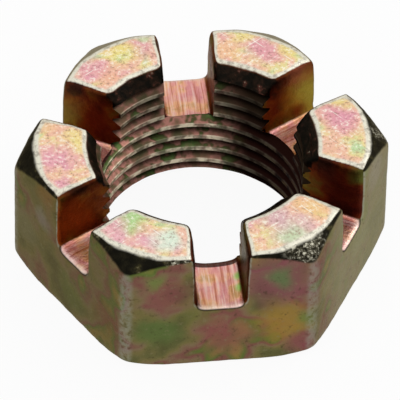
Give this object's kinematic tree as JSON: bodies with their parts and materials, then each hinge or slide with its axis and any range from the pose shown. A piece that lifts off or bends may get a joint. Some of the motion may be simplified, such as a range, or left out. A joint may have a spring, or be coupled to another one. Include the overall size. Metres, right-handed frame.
{
  "type": "castle nut",
  "caption": "Hexagon castle nut with a fine right-hand thread, turned chamfers and radial split-pin slots milled down through the flats.",
  "frame": {"origin": "middle of the flat seat face, on the thread's axis", "axes": "+Z along the thread axis towards the slotted end, +X through a corner of the hexagon, flats square to Y"},
  "size_m": [0.0344, 0.03, 0.0135],
  "materials": {
    "plated_steel": "yellow-chromate zinc plate, iridescent, worn along the edges"
  },
  "bodies": {
    "root": {"castle_nut": "plated_steel"}
  },
  "joints": []
}
